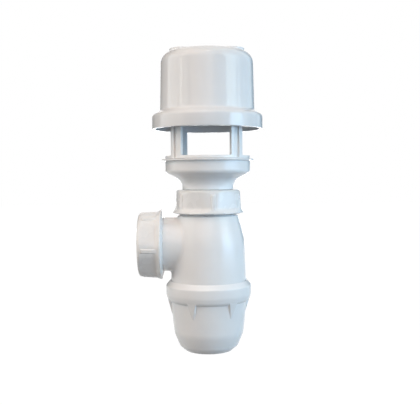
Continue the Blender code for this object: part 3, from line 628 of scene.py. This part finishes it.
add_shape(cup, *thread(
    CUP_BORE, CUP_THREAD_CREST, CUP_THREAD_PITCH, CUP_THREAD_LOW, CUP_THREAD_HIGH,
    base_width=1.5, crest_width=0.6, phase=math.pi,
))
finish_piece(cup, trap_white, "cup", "cup")

seal_outline = rounded([
    (SEAL_RADIUS, SEAL_FACE, 0.5),
    (SEAL_RADIUS, SEAL_BASE, 0.5),
    (SEAL_INNER, SEAL_BASE, 0.5),
    (SEAL_INNER, SEAL_FACE, 0.5),
])
seal = new_object("cup_seal_ring", *turned(seal_outline))
finish_piece(seal, rubber, "cup_seal_ring", "cup_seal")


# The body

# From the cup up, because np.interp takes rising heights
side_radii, side_heights = np.array(rounded([
    (SHOULDER_RADIUS, SHOULDER, 0),
    (BODY_BREAK_RADIUS, BODY_BREAK, 60.0),
    (BODY_RADIUS, BODY_THREAD_END, 0),
], closed=False)[::-1]).T


def on_body(across, up, inset):
    """A point on the outlet's side of the body, given from the outlet's axis."""
    height = OUTLET_HEIGHT + up
    radius = float(np.interp(height, side_heights, side_radii)) - inset
    return np.array((-math.sqrt(radius * radius - across * across), across, height))


def outlet_blend(sections=120, arc_steps=12, sink=0.06, root=1.4):
    """The soft corner between the outlet and the body, a little wider at the bottom.

    sink is how far its edges lie in the two surfaces, root how far its hidden back does.
    """
    made = []
    for k in range(sections):
        angle = 2 * math.pi * k / sections
        y = math.sin(angle)
        z = math.cos(angle)
        blend = BLEND_TOP + (BLEND_BOTTOM - BLEND_TOP) * (1 - z) / 2
        corner = on_body(OUTLET_RADIUS * y, OUTLET_RADIUS * z, 0.0)
        near = OUTLET_RADIUS - sink
        start = np.array((corner[0] - blend, near * y, OUTLET_HEIGHT + near * z))
        wide = OUTLET_RADIUS + blend
        end = on_body(wide * y, wide * z, sink)
        points = []
        for step in range(arc_steps + 1):
            t = step / arc_steps
            points.append(start * (1 - t) ** 2 + corner * (2 * t * (1 - t)) + end * t ** 2)
        deep = OUTLET_RADIUS - root
        points.append(on_body(wide * y, wide * z, root))
        points.append(on_body(deep * y, deep * z, root))
        points.append(np.array((start[0], deep * y, OUTLET_HEIGHT + deep * z)))
        made.append(points[::-1])
    return joined_round(made)


def spigot_bore(base, end):
    """The outline of a spigot's bore with its conical seat, to cut with."""
    return [
        (0.0, end + SEAT_DEPTH),
        (SPIGOT_BORE + 2 * SEAT_RISE, end + SEAT_DEPTH),
        (SPIGOT_BORE, end - SEAT_DEPTH),
        (SPIGOT_BORE, base),
        (0.0, base),
    ]


body_outline = rounded([
    (0.0, SHOULDER + SPIGOT_LENGTH, 0),
    (SPIGOT_RADIUS, SHOULDER + SPIGOT_LENGTH, 0.3),
    (SPIGOT_RADIUS, SHOULDER + COLLAR_HEIGHT, 0),
    (OUTLET_RADIUS, SHOULDER + COLLAR_HEIGHT, 0),
    (OUTLET_RADIUS, SHOULDER, 0),
    (SHOULDER_RADIUS, SHOULDER, 0.8),
    (BODY_BREAK_RADIUS, BODY_BREAK, 60.0),
    (BODY_RADIUS, BODY_THREAD_END, 0.3),
    (BODY_THREAD_ROOT, BODY_THREAD_END, 0),
    (BODY_THREAD_ROOT, BODY_BASE, 0.5),
    (0.0, BODY_BASE, 0),
], closed=False)
branch_outline = rounded([
    (0.0, SPIGOT_LENGTH, 0),
    (SPIGOT_RADIUS, SPIGOT_LENGTH, 0.3),
    (SPIGOT_RADIUS, COLLAR_HEIGHT, 0),
    (OUTLET_RADIUS, COLLAR_HEIGHT, 0.1),
    (OUTLET_RADIUS, -BRANCH_DEPTH, 0),
    (0.0, -BRANCH_DEPTH, 0),
], closed=False)
hollow_outline = rounded([
    (0.0, SHOULDER - BODY_WALL, 0),
    (SHOULDER_RADIUS - BODY_WALL, SHOULDER - BODY_WALL, 1.5),
    (BODY_BREAK_RADIUS - BODY_WALL, BODY_BREAK, 50.0),
    (BODY_INNER, BODY_THREAD_END, 0),
    (BODY_INNER, BODY_BASE - BODY_WALL, 0),
    (0.0, BODY_BASE - BODY_WALL, 0),
], closed=False)
body = new_object("trap_shell", *turned(body_outline, closed=False))
branch_points, branch_faces = turned(branch_outline, closed=False)
bore_points, bore_faces = turned(spigot_bore(-BRANCH_DEPTH, SPIGOT_LENGTH), closed=False)
inlet_points, inlet_faces = turned(spigot_bore(-2 * BODY_WALL, SPIGOT_LENGTH), closed=False)
combine(body, [
    ("UNION", at_outlet(branch_points), branch_faces),
    ("UNION", *outlet_blend()),
    ("DIFFERENCE", *turned(hollow_outline, closed=False)),
    ("DIFFERENCE", at_inlet(inlet_points), inlet_faces),
    ("DIFFERENCE", at_outlet(bore_points), bore_faces),
])
points, faces = thread(
    SPIGOT_RADIUS, THREAD_RADIUS, THREAD_PITCH, THREAD_LOW, THREAD_HIGH,
    base_width=1.35, crest_width=0.35,
)
add_shape(body, at_inlet(points), faces)
add_shape(body, at_outlet(points), faces)
add_shape(body, *thread(
    BODY_THREAD_ROOT, BODY_RADIUS, CUP_THREAD_PITCH, BODY_THREAD_LOW, BODY_THREAD_HIGH,
    base_width=1.6, crest_width=0.6,
))
finish_piece(body, trap_white, "trap", "trap_body")


# The slip nuts with their rings and washers

def nut_side(rib_turn):
    """Return the function that cuts a nut's flats and raises its ribs."""
    def side(radii, heights, turns):
        outside = radii > NUT_BORE + 0.2
        off_flat = off_nearest(turns, rib_turn + math.pi / NUT_RIBS, NUT_RIBS)
        rise = NUT_FLAT_CURVE * np.maximum(0.0, NUT_FLAT_END - heights) ** 2
        flat = (NUT_FLAT + rise) / np.cos(off_flat)
        cut = smooth_min(radii, flat, NUT_SOFTNESS)
        off_rib = off_nearest(turns, rib_turn, NUT_RIBS)
        across = np.abs(cut * np.sin(off_rib))
        share = np.clip((heights - NUT_LIP_TOP) / (NUT_END - NUT_LIP_TOP), 0.0, 1.0)
        crest = NUT_RADIUS + (NUT_END_RADIUS - NUT_RADIUS) * share + NUT_RIB_RISE
        half = NUT_RIB_WIDTH / 2
        flank = 1 - smooth_step(across, half - NUT_RIB_EDGE, half + NUT_RIB_EDGE)
        ends = 1 - smooth_step(heights, NUT_RIB_TOP - 0.8, NUT_RIB_TOP + 0.6)
        blend = flank * ends * (heights > NUT_LIP_TOP - 0.6)
        raised = np.maximum(cut, crest)
        return np.where(outside, cut * (1 - blend) + raised * blend, radii)
    return side


nut_outer = dense(rounded([
    (NUT_HOLE, NUT_END, 0),
    (NUT_END_RADIUS, NUT_END, 3.0),
    (NUT_RADIUS, NUT_FLARE, 7.0),
    (NUT_LIP_RADIUS, NUT_LIP_TOP, 0.3),
    (NUT_LIP_RADIUS, NUT_LIP_EDGE, 0.3),
    (NUT_MOUTH, NUT_START, 0.3),
    (NUT_BORE, NUT_START, 0),
], closed=False), 0.55, NUT_LIP_EDGE, NUT_END)
nut_inner = rounded([
    (NUT_BORE, NUT_START, 0),
    (NUT_BORE, NUT_ROOF, 0.4),
    (SPIGOT_BORE, NUT_ROOF, 0.2),
    (SPIGOT_BORE, NUT_END, 0.4),
    (NUT_HOLE, NUT_END, 0),
], closed=False)
nut_thread, nut_thread_faces = thread(
    NUT_BORE, NUT_THREAD_CREST, THREAD_PITCH, NUT_THREAD_LOW, NUT_THREAD_HIGH,
    base_width=1.25, crest_width=0.35, phase=math.pi,
)
washer_outline = rounded([
    (WASHER_RADIUS, WASHER_TOP, 0.3),
    (WASHER_RADIUS, WASHER_RIM, 0.3),
    (WASHER_CONE, WASHER_RIM, 0.2),
    (WASHER_TIP, WASHER_LOW, 0.2),
    (PACKING_BORE, WASHER_LOW, 0.1),
    (PACKING_BORE, WASHER_TOP, 0.3),
])
ring_outline = rounded([
    (RING_RADIUS, RING_TOP, 0.3),
    (RING_RADIUS, RING_LOW, 0.3),
    (PACKING_BORE, RING_LOW, 0.3),
    (PACKING_BORE, RING_TOP, 0.3),
])
for port, place, rib_turn, washer_body in (
    ("inlet", at_inlet, INLET_RIB_TURN, "inlet_washer"),
    ("outlet", at_outlet, OUTLET_RIB_TURN, "trap"),
):
    nut_turns = fine_turns(
        rib_turn, NUT_RIBS,
        half_width=math.radians(6.5), step=math.radians(0.5), rest=math.radians(1.6),
    )
    points, faces = turned(nut_outer[:-1] + nut_inner[:-1], nut_turns, side=nut_side(rib_turn))
    nut = new_object(port + "_nut_shell", place(points), faces)
    add_shape(nut, place(nut_thread), nut_thread_faces)
    finish_piece(nut, nut_white, port + "_nut", port + "_nut")
    points, faces = turned(ring_outline)
    ring = new_object(port + "_flat_ring", place(points), faces)
    finish_piece(ring, ring_white, port + "_ring", port + "_slip_ring")
    points, faces = turned(washer_outline)
    washer = new_object(port + "_cone_washer", place(points), faces)
    finish_piece(washer, rubber, washer_body, port + "_washer")


# The dip tube and the funnel

tube_outline = rounded([
    (PIPE_RADIUS, TUBE_TOP, 0.3),
    (PIPE_RADIUS, TUBE_BASE, EDGE),
    (PIPE_RADIUS - PIPE_WALL, TUBE_BASE, EDGE),
    (PIPE_RADIUS - PIPE_WALL, TUBE_TOP, 0.3),
])
tube = new_object("dip_pipe", *turned(tube_outline))
finish_piece(tube, tube_white, "head", "dip_tube")

funnel_outline = rounded([
    (FUNNEL_INNER, FUNNEL_TOP, 0.3),
    (FUNNEL_FLANGE, FUNNEL_TOP, 0.5),
    (FUNNEL_FLANGE, FUNNEL_TOP - FLANGE_THICKNESS, 0.5),
    (FUNNEL_RADIUS, FUNNEL_TOP - FLANGE_THICKNESS, 0.5),
    (FUNNEL_RADIUS, FUNNEL_CORNER, 4.0),
    (SOCKET_RADIUS, FUNNEL_NECK, 10.0),
    (SOCKET_RADIUS, FUNNEL_BASE, EDGE),
    (SOCKET_BORE, FUNNEL_BASE, EDGE),
    (SOCKET_BORE, SOCKET_STOP, 0),
    (PIPE_RADIUS - PIPE_WALL, SOCKET_STOP, 0.3),
    (PIPE_RADIUS - PIPE_WALL, SOCKET_STOP + FUNNEL_FLOOR, 1.5),
    (FUNNEL_INNER, FUNNEL_INNER_CORNER, 4.0),
])
funnel = new_object("funnel_bowl", *turned(funnel_outline))
finish_piece(funnel, trap_white, "head", "funnel")


# The cage

def window_tool(middle, angle, inner, low, high, corner, arc_steps=6, steps=20):
    """Points and faces of a cutter for one window or groove of the cage.

    middle is measured from -Y. The corners are rounded where corner isn't 0.
    """
    heights = [low, high]
    if corner:
        turns = [math.pi / 2 * k / arc_steps for k in range(arc_steps + 1)]
        rise = [corner * (1 - math.cos(turn)) for turn in turns]
        heights = [low + r for r in rise] + [high - r for r in reversed(rise)]
    sections = []
    for z in heights:
        near = min(z - low, high - z)
        pull = 0.0
        if near < corner:
            pull = corner - math.sqrt(max(0.0, corner * corner - (corner - near) ** 2))
        reach = angle / 2 - pull / CUTTER_OUTER
        first = middle - math.pi / 2 - reach
        turns = [first + 2 * reach * k / steps for k in range(steps + 1)]
        section = [(CUTTER_OUTER * math.cos(t), CUTTER_OUTER * math.sin(t), z) for t in turns]
        section += [(inner * math.cos(t), inner * math.sin(t), z) for t in reversed(turns)]
        sections.append(section)
    return joined_row(sections)


cage_outline = rounded([
    (CAGE_RADIUS - CAGE_CHAMFER, CAGE_TOP, 0.3),
    (CAGE_RADIUS, CAGE_TOP - CAGE_CHAMFER, 0.3),
    (CAGE_RADIUS, CAGE_BASE, 0.3),
    (CAGE_LIP, CAGE_BASE, 0),
    (CAGE_LIP, CAGE_BASE - CAGE_LIP_DEPTH, 0.5),
    (CAGE_BORE, CAGE_BASE - CAGE_LIP_DEPTH, 0.5),
    (CAGE_BORE, WINDOW_LOW, 0.4),
    (CAGE_INNER, WINDOW_LOW, 0),
    (CAGE_INNER, CAGE_TOP, 0.3),
])
cage = new_object("cage_basket", *turned(cage_outline))
leg_pitch = 2 * math.pi / LEG_COUNT
windows = [
    window_tool(LEG_TURN + k * leg_pitch, leg_pitch - LEG_ANGLE, CUTTER_INNER,
                WINDOW_LOW, WINDOW_HIGH, WINDOW_CORNER)
    for k in range(LEG_COUNT)
]
grooves = [
    window_tool(LEG_TURN + (k + 0.5) * leg_pitch, GROOVE_ANGLE, CAGE_RADIUS - GROOVE_DEPTH,
                CAGE_BASE + GROOVE_RISE, CAGE_TOP + CUTTER_PAST, 0.0)
    for k in range(LEG_COUNT)
]
combine(cage, [("DIFFERENCE", *shape) for shape in windows + grooves])
soften(cage, 0.25, math.radians(40.0))
finish_piece(cage, trap_white, "head", "cage")


# The hose carrier with its seals

carrier_outline = rounded([
    (0.0, CARRIER_TOP, 0),
    (CARRIER_FLAT, CARRIER_TOP, 1.0),
    (CARRIER_RADIUS, CARRIER_BASE + CARRIER_EDGE, 0.2),
    (CARRIER_RADIUS, CARRIER_BASE, 0.2),
    (CARRIER_PLUG, CARRIER_BASE, 0),
    (CARRIER_PLUG, CARRIER_BASE - CARRIER_PLUG_DEPTH, 0.4),
    (CARRIER_PLUG_INNER, CARRIER_BASE - CARRIER_PLUG_DEPTH, 0.4),
    (CARRIER_PLUG_INNER, CARRIER_BASE, 0.4),
    (0.0, CARRIER_BASE, 0),
], closed=False)
socket_outline = rounded([
    (0.0, HOSE_SOCKET_TOP, 0),
    (HOSE_SOCKET, HOSE_SOCKET_TOP, 0.5),
    (HOSE_SOCKET, HOSE_SOCKET_LOW, 1.5),
    (SPOUT_RADIUS, HOSE_SOCKET_LOW - HOSE_SOCKET + SPOUT_RADIUS, 1.5),
    (SPOUT_RADIUS, SPOUT_END, EDGE),
    (0.0, SPOUT_END, 0),
], closed=False)
bore_outline = [
    (0.0, HOSE_SOCKET_TOP + BORE_PAST),
    (SLEEVE_SEAT, HOSE_SOCKET_TOP + BORE_PAST),
    (SLEEVE_SEAT, SLEEVE_LOW - SLEEVE_GAP),
    (HOSE_GUIDE, SLEEVE_LOW - SLEEVE_GAP),
    (HOSE_GUIDE, HOSE_STOP),
    (SPOUT_BORE, HOSE_STOP),
    (SPOUT_BORE, SPOUT_END - BORE_PAST),
    (0.0, SPOUT_END - BORE_PAST),
]


def at_hoses(operation, outline):
    """Two tools for combine, one at each hose's place."""
    points, faces = turned(outline, SMALL_TURNS, closed=False)
    return [(operation, points + (x, 0.0, 0.0), faces) for _, x in HOSE_PLACES]


carrier = new_object("hose_plate", *turned(carrier_outline, closed=False))
combine(carrier, at_hoses("UNION", socket_outline) + at_hoses("DIFFERENCE", bore_outline))
finish_piece(carrier, hood_white, "head", "hose_carrier")

sleeve_outline = rounded([
    (SLEEVE_RADIUS, SLEEVE_TOP, 0.4),
    (SLEEVE_RADIUS, SLEEVE_LOW, 0.4),
    (SLEEVE_BORE, SLEEVE_LOW, 0.6),
    (SLEEVE_BORE, SLEEVE_TOP, 1.0),
])
for hand, x in HOSE_PLACES:
    points, faces = turned(sleeve_outline, SMALL_TURNS)
    sleeve = new_object("hose_sleeve_" + hand, points + (x, 0.0, 0.0), faces)
    finish_piece(sleeve, rubber, "head", "hose_seal_" + hand)


# The hood

hood_outline = rounded([
    (0.0, HOOD_TOP, 0),
    (HOOD_TOP_RADIUS, HOOD_TOP, 10.5),
    (HOOD_BASE_RADIUS, HOOD_FLARE_HIGH, 3.2),
    (HOOD_SKIRT_RADIUS, HOOD_FLARE_LOW, 3.6),
    (HOOD_SKIRT_RADIUS, HOOD_RIM, 0.7),
    (HOOD_SKIRT_RADIUS - HOOD_WALL, HOOD_RIM, 0.7),
    (HOOD_SKIRT_RADIUS - HOOD_WALL, HOOD_FLARE_LOW - HOOD_FLARE_DROP, 2.0),
    (HOOD_BASE_RADIUS - HOOD_WALL, HOOD_FLARE_HIGH - HOOD_FLARE_DROP, 2.0),
    (HOOD_TOP_RADIUS - HOOD_WALL, HOOD_TOP - HOOD_ROOF, 7.0),
    (0.0, HOOD_TOP - HOOD_ROOF, 0),
], closed=False)
hole_outline = [
    (0.0, HOOD_TOP + BORE_PAST),
    (HOOD_HOLE, HOOD_TOP + BORE_PAST),
    (HOOD_HOLE, CARRIER_BASE),
    (0.0, CARRIER_BASE),
]
hood = new_object("hood_shell", *turned(hood_outline, closed=False))
combine(hood, at_hoses("DIFFERENCE", hole_outline))
finish_piece(hood, hood_white, "head", "hood")


# Floor, world, lamps, camera

def mix_white(tree, plain, white, share, output):
    """Mix the white shader into the plain one, by share, for what is seen or reflected."""
    nodes = tree.nodes
    links = tree.links
    rays = nodes.new("ShaderNodeLightPath")
    seen = rays.outputs["Is Camera Ray"]
    for name in ("Is Glossy Ray", "Is Transmission Ray"):
        either = nodes.new("ShaderNodeMath")
        either.operation = "MAXIMUM"
        links.new(seen, either.inputs[0])
        links.new(rays.outputs[name], either.inputs[1])
        seen = either.outputs["Value"]
    scaled = nodes.new("ShaderNodeMath")
    scaled.operation = "MULTIPLY"
    scaled.inputs[1].default_value = share
    links.new(seen, scaled.inputs[0])
    blend = nodes.new("ShaderNodeMixShader")
    links.new(scaled.outputs["Value"], blend.inputs["Fac"])
    links.new(plain, blend.inputs[1])
    links.new(white, blend.inputs[2])
    links.new(blend.outputs["Shader"], output)


def panel(name, corners, material):
    """Make a flat four-cornered part of the stage."""
    obj = new_object(name, corners, [(0, 1, 2, 3)])
    obj.data.materials.append(material)
    return obj


# The white of the floor is mixed in by a share, so that the object's shadow stays on it, and its
# strength makes up for the share.
floor_material = bpy.data.materials.new("pale_floor")
floor_material.use_nodes = True
tree = floor_material.node_tree
shader = tree.nodes["Principled BSDF"]
shader.inputs["Base Color"].default_value = (0.2, 0.2, 0.2, 1.0)
shader.inputs["Roughness"].default_value = 0.9
glow = tree.nodes.new("ShaderNodeEmission")
glow.inputs["Color"].default_value = (1.0, 1.0, 1.0, 1.0)
glow.inputs["Strength"].default_value = 1.39
mix_white(
    tree, shader.outputs["BSDF"], glow.outputs["Emission"], share=0.7,
    output=tree.nodes["Material Output"].inputs["Surface"],
)
floor_signs = ((-1, -1), (1, -1), (1, 1), (-1, 1))
panel("floor", [(x * FLOOR_REACH, y * FLOOR_REACH, 0.0) for x, y in floor_signs], floor_material)

card_material = bpy.data.materials.new("dark_card")
card_material.use_nodes = True
shader = card_material.node_tree.nodes["Principled BSDF"]
shader.inputs["Base Color"].default_value = (0.02, 0.02, 0.02, 1.0)
shader.inputs["Roughness"].default_value = 1.0
for hand, end in (("left", -LEFT_CARD_END), ("right", RIGHT_CARD_END)):
    turns = (math.copysign(CARD_START, end), end)
    edges = [(math.sin(turn) * CARD_DISTANCE, math.cos(turn) * CARD_DISTANCE) for turn in turns]
    corners = [(*edge, 0.0) for edge in edges] + [(*edge, CARD_HEIGHT) for edge in edges[::-1]]
    card = panel("card_" + hand, corners, card_material)
    card.visible_camera = False
    card.visible_diffuse = False
    card.visible_transmission = False
    card.visible_shadow = False

world = bpy.data.worlds.new("studio")
bpy.context.scene.world = world
world.use_nodes = True
tree = world.node_tree
backdrop = tree.nodes["Background"]
backdrop.inputs["Color"].default_value = (1.0, 1.0, 1.0, 1.0)
backdrop.inputs["Strength"].default_value = 1.0
fill = tree.nodes.new("ShaderNodeBackground")
fill.inputs["Color"].default_value = (0.93, 0.96, 1.0, 1.0)
fill.inputs["Strength"].default_value = 0.24
mix_white(
    tree, fill.outputs["Background"], backdrop.outputs["Background"], share=1.0,
    output=tree.nodes["World Output"].inputs["Surface"],
)


def lamp(name, angle, distance, height, aim, width, tall, watts, colour):
    """Add a soft rectangular lamp at an angle in degrees from the front, measured towards +X.

    It stands at a distance and height, and looks at the object's axis at the height aim.
    """
    light = bpy.data.lights.new(name, "AREA")
    light.shape = "RECTANGLE"
    light.size = width * MM
    light.size_y = tall * MM
    light.energy = watts
    light.color = colour
    obj = bpy.data.objects.new(name, light)
    bpy.context.scene.collection.objects.link(obj)
    turn = math.radians(angle)
    place = np.array((math.sin(turn) * distance, -math.cos(turn) * distance, height)) * MM
    away = Vector(place) - Vector((0.0, 0.0, aim * MM))
    obj.location = place
    obj.rotation_euler = away.to_track_quat("Z", "Y").to_euler()


# Name, angle, distance, height, aim, width, tall, watts, colour
for row in (
    ("window_low", 61.0, 1100.0, 277.0, 150.0, 560.0, 277.0, 3.5, (0.48, 0.76, 1.0)),
    ("window_high", 61.0, 1100.0, 650.0, 150.0, 560.0, 520.0, 2.7, (0.78, 0.98, 1.0)),
    ("window_side", 83.0, 1100.0, 500.0, 150.0, 110.0, 900.0, 0.7, (0.82, 0.97, 1.0)),
    ("window_floor", 66.0, 600.0, 110.0, 195.0, 500.0, 110.0, 0.65, (0.42, 0.68, 1.0)),
    ("wide_left", -78.0, 1300.0, 500.0, 150.0, 1600.0, 1200.0, 7.4, (0.91, 0.99, 1.0)),
    ("strip_left", -65.0, 1200.0, 800.0, 150.0, 60.0, 780.0, 0.6, (1.0, 0.98, 0.90)),
    ("softbox_front", -12.0, 1400.0, 900.0, 140.0, 1600.0, 900.0, 6.6, (1.0, 0.80, 0.66)),
    ("high_left", -45.0, 700.0, 1200.0, 140.0, 900.0, 900.0, 4.3, (1.0, 0.73, 0.55)),
    ("back", 180.0, 1400.0, 60.0, 140.0, 500.0, 90.0, 2.5, (0.97, 0.98, 1.0)),
    ("strip_top", 10.0, 569.0, 1231.0, 150.0, 420.0, 26.0, 0.8, (1.0, 0.97, 0.94)),
):
    lamp(*row)

camera_data = bpy.data.cameras.new("photo_camera")
camera_data.sensor_width = SENSOR
camera_data.lens = FOCAL_PIXELS / FRAME_WIDTH * SENSOR
camera = bpy.data.objects.new("photo_camera", camera_data)
bpy.context.scene.collection.objects.link(camera)
forward = np.array((0.0, math.cos(CAMERA_PITCH), -math.sin(CAMERA_PITCH)))
level_up = np.array((0.0, math.sin(CAMERA_PITCH), math.cos(CAMERA_PITCH)))
level_right = np.array((1.0, 0.0, 0.0))
right = level_right * math.cos(CAMERA_ROLL) - level_up * math.sin(CAMERA_ROLL)
up = level_up * math.cos(CAMERA_ROLL) + level_right * math.sin(CAMERA_ROLL)
facing = Matrix(np.stack([right, up, -forward], axis=-1).tolist()).to_4x4()
camera.matrix_world = Matrix.Translation([value * MM for value in CAMERA_PLACE]) @ facing
bpy.context.scene.camera = camera
bpy.context.scene.view_settings.view_transform = "Standard"
